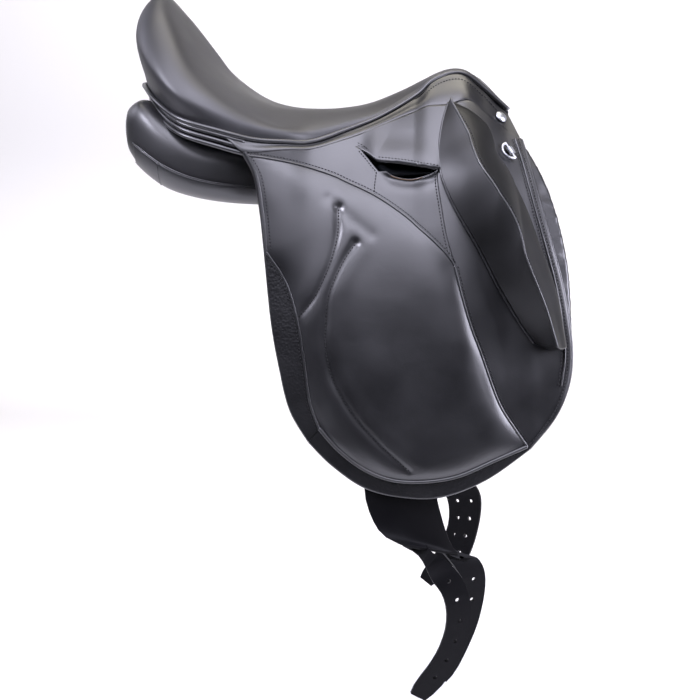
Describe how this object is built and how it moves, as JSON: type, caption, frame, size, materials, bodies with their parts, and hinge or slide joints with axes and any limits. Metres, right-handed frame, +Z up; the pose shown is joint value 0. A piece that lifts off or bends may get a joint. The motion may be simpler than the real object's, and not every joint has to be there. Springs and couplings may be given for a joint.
{
  "type": "dressage saddle",
  "caption": "Dressage saddle with a deep seat, padded thigh blocks, stirrup bars and long punched billets; the flaps lift and the rings, bar catches and billets swing.",
  "frame": {"origin": "in the gullet channel under the deepest point of the seat, level with the panels' bearing surface on the horse's back", "axes": "+X forward to the pommel, +Y to the saddle's left, +Z up"},
  "size_m": [0.5322, 0.4952, 0.8234],
  "materials": {
    "calf_leather": "smooth, satin",
    "grained_leather": "fine grain, satin",
    "panel_leather": "soft, satin",
    "strap_leather": "waxed, satin",
    "foam": "open cell",
    "webbing": "woven",
    "tree": "moulded",
    "steel": "brushed",
    "bright_metal": "polished"
  },
  "bodies": {
    "saddle": {"seat_cover": "calf_leather", "seat_foam": "foam", "seat_welt": "grained_leather", "cantle_roll": "grained_leather", "skirt_right": "grained_leather", "skirt_left": "grained_leather", "straining_webs": "webbing", "girth_web": "webbing", "tree_head": "tree", "tree_cantle": "tree", "tree_rail_right": "tree", "tree_rail_left": "tree", "tree_wing_right": "tree", "tree_wing_left": "tree", "gullet_plate": "steel", "saddle_nails": "bright_metal", "panel_right": "panel_leather", "panel_left": "panel_leather", "panel_gusset_right": "panel_leather", "panel_gusset_left": "panel_leather", "gullet_lining": "panel_leather", "stirrup_bar_right": "steel", "stirrup_bar_left": "steel", "bar_rivets_right": "steel", "bar_rivets_left": "steel", "catch_pin_right": "steel", "catch_pin_left": "steel", "girth_strap_right": "strap_leather", "girth_strap_left": "strap_leather"},
    "right_flap": {"flap_right": "grained_leather", "flap_lining_right": "grained_leather", "upper_facing_right": "calf_leather", "calf_panel_right": "calf_leather", "grip_strip_right": "grained_leather", "hem_strip_right": "grained_leather", "front_facing_right": "grained_leather", "thigh_block_right": "grained_leather", "ring_staple_right": "bright_metal"},
    "right_ring": {"ring_right": "bright_metal"},
    "right_catch": {"bar_catch_right": "steel"},
    "right_front_billet": {"front_billet_right": "strap_leather"},
    "right_rear_billet": {"rear_billet_right": "strap_leather"},
    "left_flap": {"flap_left": "grained_leather", "flap_lining_left": "grained_leather", "upper_facing_left": "calf_leather", "calf_panel_left": "calf_leather", "grip_strip_left": "grained_leather", "hem_strip_left": "grained_leather", "front_facing_left": "grained_leather", "thigh_block_left": "grained_leather", "ring_staple_left": "bright_metal"},
    "left_ring": {"ring_left": "bright_metal"},
    "left_catch": {"bar_catch_left": "steel"},
    "left_front_billet": {"front_billet_left": "strap_leather"},
    "left_rear_billet": {"rear_billet_left": "strap_leather"}
  },
  "joints": [
    {"name": "right_flap_lift", "type": "hinge", "parent": "saddle", "child": "right_flap", "pos_m": [0.14255, -0.10089, 0.11392], "axis": [-0.9271, -0.2877, -0.2403], "range_deg": [0, 35]},
    {"name": "right_ring_flip", "type": "hinge", "parent": "right_flap", "child": "right_ring", "pos_m": [0.21597, -0.10213, 0.05408], "axis": [-0.5433, 0.2758, 0.793], "range_deg": [0, 150]},
    {"name": "right_catch_fold", "type": "hinge", "parent": "saddle", "child": "right_catch", "pos_m": [0.05686, -0.12217, 0.03003], "axis": [0.1196, 0.8491, -0.5145], "range_deg": [0, 90]},
    {"name": "right_front_billet_swing", "type": "hinge", "parent": "saddle", "child": "right_front_billet", "pos_m": [0.157, -0.188, -0.421], "axis": [1, 0, 0], "range_deg": [0, 50]},
    {"name": "right_rear_billet_swing", "type": "hinge", "parent": "saddle", "child": "right_rear_billet", "pos_m": [0.09, -0.223, -0.3965], "axis": [-1, 0, 0], "range_deg": [0, 50]},
    {"name": "left_flap_lift", "type": "hinge", "parent": "saddle", "child": "left_flap", "pos_m": [0.14255, 0.10089, 0.11392], "axis": [0.9271, -0.2877, 0.2403], "range_deg": [0, 35]},
    {"name": "left_ring_flip", "type": "hinge", "parent": "left_flap", "child": "left_ring", "pos_m": [0.21597, 0.10213, 0.05408], "axis": [0.5433, 0.2758, -0.793], "range_deg": [0, 150]},
    {"name": "left_catch_fold", "type": "hinge", "parent": "saddle", "child": "left_catch", "pos_m": [0.05686, 0.12217, 0.03003], "axis": [-0.1196, 0.8491, 0.5145], "range_deg": [0, 90]},
    {"name": "left_front_billet_swing", "type": "hinge", "parent": "saddle", "child": "left_front_billet", "pos_m": [0.157, 0.188, -0.421], "axis": [-1, 0, 0], "range_deg": [0, 50]},
    {"name": "left_rear_billet_swing", "type": "hinge", "parent": "saddle", "child": "left_rear_billet", "pos_m": [0.09, 0.223, -0.3965], "axis": [1, 0, 0], "range_deg": [0, 50]}
  ]
}
